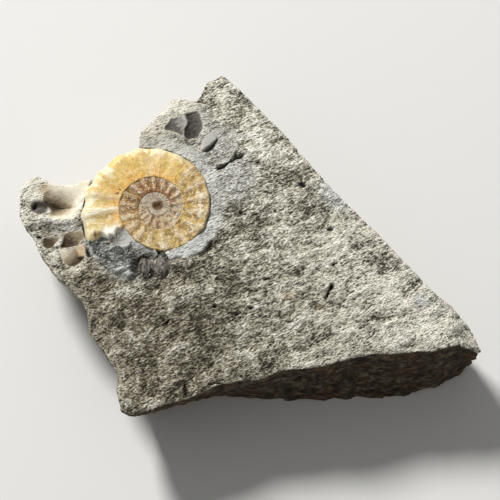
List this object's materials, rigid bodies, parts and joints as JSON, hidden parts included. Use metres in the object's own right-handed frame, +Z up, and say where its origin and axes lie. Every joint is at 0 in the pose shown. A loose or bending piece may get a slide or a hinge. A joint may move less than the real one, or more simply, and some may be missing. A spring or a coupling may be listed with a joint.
{
  "type": "xipheroceras ammonite fossil in limestone matrix",
  "caption": "Small evolute ribbed ammonite in amber calcite, half sunk in the flat face of a loose wedge of grey limestone with rib moulds of other shells.",
  "frame": {"origin": "on the surface it lies on, under the middle of the stone's outline", "axes": "+X from the spur on the left to the sharp tip on the right, +Y to the corner at the top of the face, +Z up out of the face that holds the shell"},
  "size_m": [0.0714, 0.0543, 0.0156],
  "materials": {
    "limestone": "dry matt grey-beige limestone with a fine granular face, brown weathered sides and bluish grey where it was prepared round the shell",
    "calcite": "slightly translucent amber calcite with a soft polish, milky white on the outer ribs and brown to mauve on the inner whorls",
    "dark_shell": "dark brown-grey fossil shell with a faint satin sheen and a pale worn rim"
  },
  "bodies": {
    "root": {"matrix": "limestone", "ammonite": "calcite", "shell_fragment_right": "dark_shell", "shell_fragment_left": "dark_shell"}
  },
  "joints": []
}
